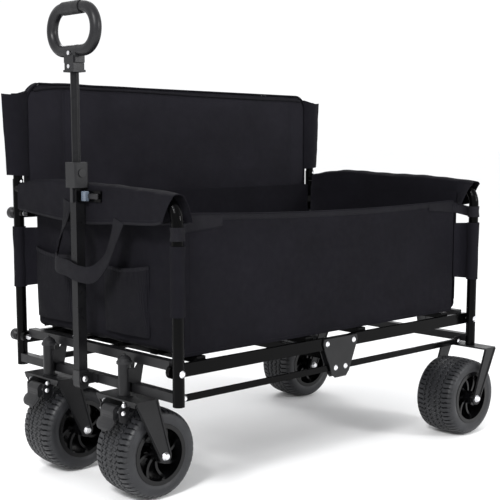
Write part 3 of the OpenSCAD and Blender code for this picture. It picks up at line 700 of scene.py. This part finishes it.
def sleeve(name, end, body, seed, node):
    """The fabric sleeve over a top tube; its near end stands open like a tent over the bent corner."""
    y_near, y_far = -305.0, 273.0
    crown_share, half_width, rise = 0.30, 16.6, 7.5  # of the part that lies on the tube
    along, round_it = 150, 61
    y = np.linspace(y_near, y_far, along)[:, None]
    t = np.linspace(-1, 1, round_it)[None, :]
    open_end = np.clip((y_near + 70 - y) / 70, 0, 1) ** 1.5
    top, low = sleeve_top(y), sleeve_low(y)
    on_tube = np.abs(t) < crown_share
    drop = np.clip((np.abs(t) - crown_share) / 0.70, 0, 1)
    bend = np.clip(t / crown_share, -1, 1) * math.pi / 2
    z = np.where(on_tube, top - rise * (1 - np.cos(bend)), top - rise + (low - top + rise) * drop)
    inner = t > 0
    flare = np.where(inner, 30 * open_end * drop ** 0.8, 2.0 * open_end * drop)
    hang = 1.8 * np.sin(drop * math.pi) + 1.4 * drop * ripple(y, t * 160, seed, 120)
    hanging = np.sign(t) * half_width + np.sign(t) * (np.clip(hang, -0.6, 3.2) + flare)
    out = np.where(on_tube, half_width * np.sin(bend), hanging)
    z = z + np.where(on_tube, 1.4 * ripple(y, t * 90, seed + 1, 80), 0)
    slant = np.where(inner, 12, 30) * drop ** 0.8 * open_end
    x = POST_X[end] - end * out
    grid = np.stack([x, y + slant, z], 2)
    piece = shell(name, grid, 1.6, CLOTH)
    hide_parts(node)
    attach(piece, body)
    for tag, column, sign in (("outer", 0, -1), ("inner", -1, 1)):
        line = grid[:, column] + np.array([0, 0, 1.5])
        hem = rod(f"{name}_hem_{tag}", line[2:-2], 3.4, WEBBING, 10, 0.5, (1, 0, 0))
        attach(hem, body)
        stitch = grid[4:-4, column] + np.array([sign * -end * 1.5, 0, 9.0])
        thread = stitches(f"{name}_stitches_{tag}", [stitch], (-sign * end, 0, 0))
        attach(thread, body)


sleeve("front_sleeve", -1, "front_end", 41, "front_cover")
sleeve("rear_sleeve", 1, "rear_end", 47, "rear_cover")


def post_wrap(name, end, side, low, high, body, seed, look=CLOTH, radius=14.6):
    """A sleeve of cloth round a post."""
    turns, up = 41, 25
    a = np.linspace(0, 2 * math.pi, turns, endpoint=False)[:, None]
    v = np.linspace(0, 1, up)[None, :]
    z = low + (high - low) * v + 0 * a
    r = radius + 0.7 * ripple(a * 15, z, seed, 70) + 0.5 * np.cos(v * math.pi * 2)
    grid = np.stack([POST_X[end] + r * np.cos(a), side * PY + r * np.sin(a), z], 2)
    piece = shell(name, grid, CLOTH_MM, look, closed_u=True)
    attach(piece, body)


def corner_flap(name, end, side, low, high, body, seed, droop=4):
    """The flap between a post's wrap and the tub's corner."""
    across, up = 17, 25
    u = np.linspace(0, 1, across)[:, None]
    v = np.linspace(0, 1, up)[None, :]
    start = np.array([POST_X[end] - end * 4, side * (PY - 13.2)])
    stop = np.array([MX + end * (TUB_X + 6), side * (SIDE_Y - 1)])
    x = start[0] + (stop[0] - start[0]) * u + 0 * v
    y = start[1] + (stop[1] - start[1]) * u + 0 * v
    bow = 1.8 * np.sin(math.pi * u) * (0.6 + 0.6 * ripple(u * 30, v * (high - low), seed, 90))
    z = low + droop * u * (1 - v) + (high - low) * v
    grid = np.stack([x + bow, y, z], 2)
    piece = shell(name, grid, CLOTH_MM, CLOTH)
    fold_with(piece, body)


for end, body, tag in ((-1, "front_end", "front"), (1, "rear_end", "rear")):
    near_low, near_high = (416, 561) if end < 0 else (406, 556)
    post_wrap(f"{tag}_near_wrap", end, -1, near_low, near_high, body, 51 + end)
    corner_flap(f"{tag}_near_flap", end, -1, near_low + 2, near_high - 1, body, 61 + end)
    post_wrap(f"{tag}_far_wrap", end, 1, 421, 566, body, 71 + end)
    corner_flap(f"{tag}_far_flap", end, 1, 423, 564, body, 81 + end)
    post_wrap(f"{tag}_near_tab_loop", end, -1, 571, 599, body, 91 + end, WEBBING, radius=14.4)
    # the tab that runs from the loop along the top edge of the near side
    x = np.linspace(POST_X[end] - end * 2, POST_X[end] - end * 150, 43)[:, None]
    v = np.linspace(0, 1, 9)[None, :]
    reach = np.clip((np.abs(x - POST_X[end]) - 2) / 46, 0, 1)
    y = -(PY - 13.6) + (PY - 13.6 - SIDE_Y - 1.4) * reach ** 1.3 + 0 * v
    taper = np.clip((np.abs(x - POST_X[end]) - 45) / 105, 0, 1)
    high = 598 + (near_top(x) - 2 - 598) * reach
    low = 572 + 12 * reach + 8 * taper
    tab_grid = np.stack([x + 0 * v, y, low + (high - low) * v], 2)
    tab = shell(f"{tag}_near_tab", tab_grid, 1.6, WEBBING)
    fold_with(tab, "rear_end")
    far_end = float(POST_X[end] - end * 147)
    box = [[(far_end, -SIDE_Y - 2.4, 590), (far_end, -SIDE_Y - 2.4, 604)],
           [(POST_X[end] - end * 52, -SIDE_Y - 2.4, 584), (far_end, -SIDE_Y - 2.4, 590)]]
    thread = stitches(f"{tag}_near_tab_stitches", box, (0, -1, 0))
    fold_with(thread, "rear_end")

# ---------------------------------------------------------------- backrest

PAD_FRONT = max(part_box("centre_rivets")[1][1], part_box("centre_plates")[1][1]) / MM + 0.8
PAD_BACK = PAD_FRONT + 21.5
PAD_LOW, PAD_HIGH, PAD_HALF = 634.0, 906.0, 478.0


def rounded_outline(half, low, high, r, steps=10, foot_r=6):
    """A pad's outline in X and Z: top corners of radius r, lower corners of radius foot_r."""
    pts = []
    for cx, cz, a0 in ((half - r, high - r, 0), (-half + r, high - r, 90)):
        for k in range(steps + 1):
            a = math.radians(a0 + 90 * k / steps)
            pts.append((cx + r * math.cos(a), cz + r * math.sin(a)))
    for cx, cz, a0 in ((-half + foot_r, low + foot_r, 180), (half - foot_r, low + foot_r, 270)):
        for k in range(5):
            a = math.radians(a0 + 90 * k / 4)
            pts.append((cx + foot_r * math.cos(a), cz + foot_r * math.sin(a)))
    return np.array(pts)


pad_top = curve_through([-478, -440, -262, 69, 300, 460, 478], [899, 908, 912, 905, 901, 898, 896])


def lift_top(p):
    """Bends the pad's top edge to its slightly crooked line."""
    p = p.copy()
    share = np.clip((p[:, 2] - PAD_LOW) / (PAD_HIGH - PAD_LOW), 0, 1) ** 2
    p[:, 2] += share * (pad_top(p[:, 0] - MX) - PAD_HIGH)
    return p


outline = rounded_outline(PAD_HALF - 2, PAD_LOW + 2, PAD_HIGH - 3, 34)
count = len(outline)
slab = np.concatenate([np.stack([MX + outline[:, 0], np.full(count, y), outline[:, 1]], 1)
                       for y in (PAD_FRONT + 4, PAD_BACK - 4)])
slab_faces = [list(range(count)), list(range(2 * count - 1, count - 1, -1))]
slab_faces += [[k, (k + 1) % count, count + (k + 1) % count, count + k] for k in range(count)]
pad = build("backrest_pad", slab, slab_faces, PAD_CLOTH)
SEAMS_X = (-372.0, 418.0)
TOP_SEAM = 893.0


def pad_pins(p):
    x, z = p[:, 0] - MX, p[:, 2]
    rim = (np.abs(x) > PAD_HALF - 9) | (z > PAD_HIGH - 10) | (z < PAD_LOW + 9)
    arc = np.hypot(np.maximum(np.abs(x) - (PAD_HALF - 36), 0), np.maximum(z - (PAD_HIGH - 39), 0)) > 24
    rim |= arc & (z > PAD_HIGH - 60)
    seam = np.any([np.abs(x - s) < 5 for s in SEAMS_X], axis=0)
    return rim | seam | (np.abs(z - TOP_SEAM) < 4)


def pad_limits(p):
    """Keeps the pad in its space, presses its seams in, and gives the cloth its slack."""
    p = p.copy()
    x, z = p[:, 0] - MX, p[:, 2]
    facing = np.where(p[:, 1] < (PAD_FRONT + PAD_BACK) / 2, -1.0, 1.0)
    inside = (np.abs(x) < PAD_HALF - 14) & (z < PAD_HIGH - 20) & (z > PAD_LOW + 12)
    slack = 1.3 * ripple(x, z * 1.5, 101, 240) + 0.7 * ripple(x, z, 102, 85)
    seam = np.zeros(len(p))
    for s in SEAMS_X:
        seam = np.maximum(seam, np.exp(-((x - s) / 7) ** 2))
    seam = np.maximum(seam, np.exp(-((z - TOP_SEAM) / 4.5) ** 2))
    pressed = facing * 2.4 * seam * (np.abs(x) < PAD_HALF - 6)
    p[:, 1] += facing * np.where(inside, slack * (1 - seam), 0) - pressed
    p[:, 1] = np.clip(p[:, 1], PAD_FRONT, PAD_BACK + 6)
    p[:, 2] = np.clip(p[:, 2], PAD_LOW - 4, PAD_HIGH + 5)
    return lift_top(p)


settle(pad, 4.0, 12.0, pad_limits, pad_pins)
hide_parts("backrest")
fold_with(pad, "rear_end")


def on_pad(x0, z0, x1, z1, y, steps=60):
    t = np.linspace(0, 1, steps)
    return lift_top(np.stack([MX + x0 + (x1 - x0) * t, np.full(steps, y), z0 + (z1 - z0) * t], 1))


edge = rounded_outline(PAD_HALF, PAD_LOW, PAD_HIGH, 36)
edge = np.concatenate([edge, edge[:1]])
for tag, y in (("front", PAD_FRONT + 3.4), ("back", PAD_BACK - 2.0)):
    ring = np.stack([MX + edge[:, 0], np.full(len(edge), y), edge[:, 1]], 1)
    piping = rod(f"backrest_piping_{tag}", lift_top(ring), 2.2, CLOTH, 10, 1.0, (0, 1, 0))
    fold_with(piping, "rear_end")
across_edge = np.linspace(PAD_FRONT + 3.4, PAD_BACK - 2.0, 5)
strip = np.stack([np.stack([MX + edge[:-1, 0], np.full(len(edge) - 1, y), edge[:-1, 1]], 1)
                  for y in across_edge], 1)
strip = lift_top(strip.reshape(-1, 3)).reshape(strip.shape)
gusset = shell("backrest_gusset", strip, 1.6, PAD_CLOTH, closed_u=True)
fold_with(gusset, "rear_end")
lines = [on_pad(s + d, PAD_LOW + 14, s + d, TOP_SEAM - 6, PAD_FRONT + 0.9) for s in SEAMS_X for d in (-5, 5)]
lines += [on_pad(-PAD_HALF + 14, TOP_SEAM - 6, PAD_HALF - 14, TOP_SEAM - 6, PAD_FRONT + 0.9)]
thread = stitches("backrest_stitches", lines, (0, -1, 0))
fold_with(thread, "rear_end")
zip_line = on_pad(-PAD_HALF + 20, TOP_SEAM, PAD_HALF - 20, TOP_SEAM, PAD_FRONT + 1.8)
zipper = rod("backrest_zip", zip_line, 3.2, WEBBING, 10, 0.5, (0, 1, 0))
fold_with(zipper, "rear_end")

POLE_X = 505.0  # of the backrest's poles, from MX


def wing(name, end, seed):
    """A flat sleeve of cloth over a pole, sewn to the pad's end. As it folds it stays on its pole."""
    levels, around = 41, 48
    v = np.linspace(0, 1, levels)[:, None]
    a = np.linspace(0, 2 * math.pi, around, endpoint=False)[None, :]
    inner_x = 476.0
    outer_x = 534 + 9 * v
    z_in = 686 + (889 - 686) * v
    z_out = 690 + (876 - 690) * v + 5 * v ** 6
    c, s = np.cos(a), np.sin(a)
    x = POLE_X + np.where(c < 0, (POLE_X - inner_x) * c, (outer_x - POLE_X) * c)
    reach = np.where(c > 0, (x - POLE_X) / (outer_x - POLE_X), (POLE_X - x) / (POLE_X - inner_x))
    reach = np.clip(reach, 0, 1)
    thick = 13.6 * (1 - reach ** 2.2) + np.where(c < 0, 6.5, 1.3) * reach ** 2.2
    y = PY + 0.5 + thick * np.sign(s) * np.abs(s) ** 0.35 + 0.9 * ripple(x, v * 200, seed, 60) * reach
    share = np.clip((x - inner_x) / (outer_x - inner_x), 0, 1)
    z = z_in + (z_out - z_in) * share - 5 * np.sin(math.pi * share) * v ** 8
    grid = np.stack([MX + end * x, y, z], 2).transpose(1, 0, 2)
    piece = shell(name, grid, 1.3, CLOTH, closed_u=True)
    fold_with(piece, "rear_end")
    seam = np.stack([MX + end * (outer_x[:, 0] - 5), np.full(levels, PY - 3.6), z_out[:, 0]], 1)
    thread = stitches(name + "_stitches", [seam[1:-1]], (0, -1, 0))
    fold_with(thread, "rear_end")


wing("front_wing", -1, 111)
wing("rear_wing", 1, 113)

# The cloth between the far side and the foot of the backrest.
x = np.linspace(MX - 428, MX + 435, 90)[:, None]
t = np.linspace(0, 1, 13)[None, :]
y = SIDE_Y - 0.5 + (PAD_FRONT + 5 - SIDE_Y + 0.5) * t + 0 * x
z = 637 + 2 * t - 4 * np.sin(math.pi * t) + 1.2 * ripple(x, t * 60, 121, 110)
bridge = shell("backrest_foot", np.stack([x + 0 * t, y, z], 2), CLOTH_MM, CLOTH)
fold_with(bridge, "rear_end")

# the cloth strip over the gap between the floor's two halves
x = np.linspace(MX - 15, MX + 15, 9)[None, :]
y = np.linspace(-262, 262, 60)[:, None]
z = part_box("front_floor_board")[1][2] / MM + 0.9 + 0.9 * np.cos((x - MX) / 15 * math.pi / 2)
z = z + 0.2 * ripple(y, x, 127, 50)
cover = shell("floor_seam", np.stack([x + 0 * y, y + 0 * x, z], 2), 1.2, CLOTH)
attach(cover, "centre")

# ---------------------------------------------------------------- carry strap

TURN = 40.0  # the last number of each point is how far the band is turned from flat, times this
BAND_HALF = 18  # half the band's width
strap_path = [(FX - 19, 60, 638, 0), (FX - 20, 72, 596, 18), (FX - 24, 86, 552, 40), (FX - 30, 93, 516, 34),
              (HANDLE_X - 12, 66, 498, 6), (HANDLE_X - 15.5, 20, 493, 0), (HANDLE_X - 15.5, -24, 484, 0),
              (HANDLE_X - 9, -66, 486, 4), (FX - 30, -96, 518, 18), (FX - 24, -116, 562, 14),
              (FX - 19, -130, 604, 0)]
path = smooth_path(strap_path, 110)
path, turned = path[:, :3], np.clip(path[:, 3:] / TURN, 0, 1)
along, _, _ = frames_along(path, (1, 0, 0))
facing_way = np.array([-1.0, 0, 0]) * (1 - turned) + np.array([-0.73, 0.68, 0]) * turned
out_of_band = facing_way - along * np.sum(along * facing_way, axis=1, keepdims=True)
out_of_band /= np.linalg.norm(out_of_band, axis=1, keepdims=True)
width_way = np.cross(along, out_of_band)
w = np.linspace(-BAND_HALF, BAND_HALF, 9)
cup = 1.4 * np.cos(w / BAND_HALF * math.pi / 2)
band = path[:, None] + width_way[:, None] * w[None, :, None] + out_of_band[:, None] * cup[None, :, None]
strap = shell("carry_strap_band", band, 2.2, WEBBING)
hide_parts("carry_strap")
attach(strap, "front_end")
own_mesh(strap)
edges = [path + width_way * s * 15.0 + out_of_band * 2.3 for s in (-1, 1)]
thread = stitches("carry_strap_stitches", [e[2:-2] for e in edges], (-1, 0, 0))
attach(thread, "front_end")
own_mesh(thread)

# ---------------------------------------------------------------- small hard parts


def turned_part(name, profile, centre, axis, look, body, sides=28):
    """A part turned on a lathe: (radius, height) pairs along an axis through centre."""
    axis = np.asarray(axis, float)
    side = np.cross(axis, [0.3, 0.5, 0.8])
    side /= np.linalg.norm(side)
    up = np.cross(axis, side)
    turn = np.linspace(0, 2 * math.pi, sides, endpoint=False)
    circle = np.cos(turn)[:, None] * side + np.sin(turn)[:, None] * up
    rings = [np.asarray(centre) + axis * h + circle * r for r, h in profile]
    faces = grid_faces(len(rings), sides, closed_v=True)
    faces += [list(range(sides))[::-1], [(len(rings) - 1) * sides + k for k in range(sides)]]
    part = build(name, np.concatenate(rings), faces, look, 30)
    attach(part, body)


def pedal_pin(side):
    """The middle of a brake pedal's pin."""
    low, high = (np.array(c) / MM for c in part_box(f"{side}_pedal"))
    return mid("caster_stems", 0) - 32, (low[1] + high[1]) / 2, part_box("caster_stems")[0][2] / MM - 28.5


# a domed head; the pin's two heads (out 38) stand about 3 mm off the ears, which end at 34.5
BOLT = [(0.3, -0.6), (5.2, -0.6), (5.4, 0.4), (5.0, 1.5), (4.2, 2.4), (3.0, 3.1), (1.6, 3.5), (0.3, 3.6)]
for side in ("near", "far"):
    pin_x, middle, pin_z = pedal_pin(side)
    for face in (-1, 1):
        for k, (dx, dz, out) in enumerate(((0, 0, 38.0), (4, 15.5, 34.5))):
            turned_part(f"{side}_pedal_bolt_{'near' if face < 0 else 'far'}_{k}", BOLT,
                        (pin_x + dx, middle + face * out, pin_z + dz), (0, face, 0), STEEL, f"{side}_caster")


def soft_box(name, low, high, round_mm, look, body):
    """A moulded block with rounded edges."""
    work = bmesh.new()
    bmesh.ops.create_cube(work, size=1)
    low, high = np.array(low, float), np.array(high, float)
    for v in work.verts:
        v.co = ((low + high) / 2 + np.array(v.co) * (high - low)) * MM
    bmesh.ops.bevel(work, geom=work.edges[:] + work.verts[:], offset=round_mm * MM, segments=4, profile=0.5,
                    affect="EDGES")
    data = bpy.data.meshes.new(name)
    for face in work.faces:
        face.smooth = True
    work.to_mesh(data)
    work.free()
    data.materials.append(look)
    block = bpy.data.objects.new(name, data)
    scene.collection.objects.link(block)
    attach(block, body)


clip_low, clip_high = (np.array(c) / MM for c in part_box("handle_clip"))
soft_box("clip_latch", (HANDLE_X - 1, -31, clip_low[2] + 1),
         (clip_high[0] - 5.4, -15.3, clip_high[2] - 1), 2.4, CLIP_GREY, "front_end")
soft_box("clip_tongue", (clip_high[0] - 11, -66, clip_low[2] + 6),
         (clip_high[0] - 5.4, -31.5, clip_high[2] - 6), 2.4, PLASTIC, "front_end")


def pedal(side):
    """A brake pedal: a tread block on the pin and a wider, rounded lip below it that flares forward."""
    pin_x, middle, pin_z = pedal_pin(side)
    line = smooth_path([(10, 3), (4, 11), (-6, 12), (-13, 5), (-13.5, -9), (-15, -18), (-20, -26),
                        (-24.6, -38)], 44)
    across = 25
    u = np.linspace(-1, 1, across)[None, :]
    t = np.linspace(0, 1, len(line))[:, None]
    lip = np.clip((t - 0.62) / 0.1, 0, 1)
    half = 21.5 + 7.5 * lip * lip * (3 - 2 * lip)
    end_round = np.clip((t - 0.72) / 0.28, 0, 1)
    shrink = np.sqrt(np.clip(1 - 0.55 * end_round ** 3, 0, 1))
    y = middle + u * half * shrink
    dish = 2.2 * (1 - u * u) * lip
    ribs = 0.7 * (np.abs(np.sin(t * 46)) > 0.62) * (np.abs(u) < 0.82) * (t > 0.16)
    x = np.maximum(pin_x + line[:, :1] - dish - ribs + 0 * u, pin_x - 25.4)
    z = pin_z + line[:, 1:] + 2.5 * u * u * end_round
    tread = shell(f"{side}_pedal_tread", np.stack([x, y, z], 2), 2.8, PLASTIC,
                  sharp_deg=50)
    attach(tread, f"{side}_brake")
    for face in (-1, 1):
        web = [(9, 1), (5, 9), (-6, 10.6), (-11.8, 4), (-12.2, -9), (-13.4, -17), (-4, -14), (6, -8)]
        ring = [(pin_x + px, middle + face * (21.0 - k), pin_z + pz) for k in (0, 2.6) for px, pz in web]
        count = len(web)
        faces = [list(range(count)), list(range(2 * count - 1, count - 1, -1))]
        faces += [[k, (k + 1) % count, count + (k + 1) % count, count + k] for k in range(count)]
        cheek = build(f"{side}_pedal_cheek_{'near' if face < 0 else 'far'}", ring, faces, PLASTIC, 30)
        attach(cheek, f"{side}_brake")
    turned_part(f"{side}_pedal_pin", [(0.4, -31), (3, -31), (3, 31), (0.4, 31)], (pin_x, middle, pin_z),
                (0, 1, 0), STEEL, f"{side}_brake")
    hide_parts(f"{side}_pedal")


for pedal_side in ("near", "far"):
    pedal(pedal_side)

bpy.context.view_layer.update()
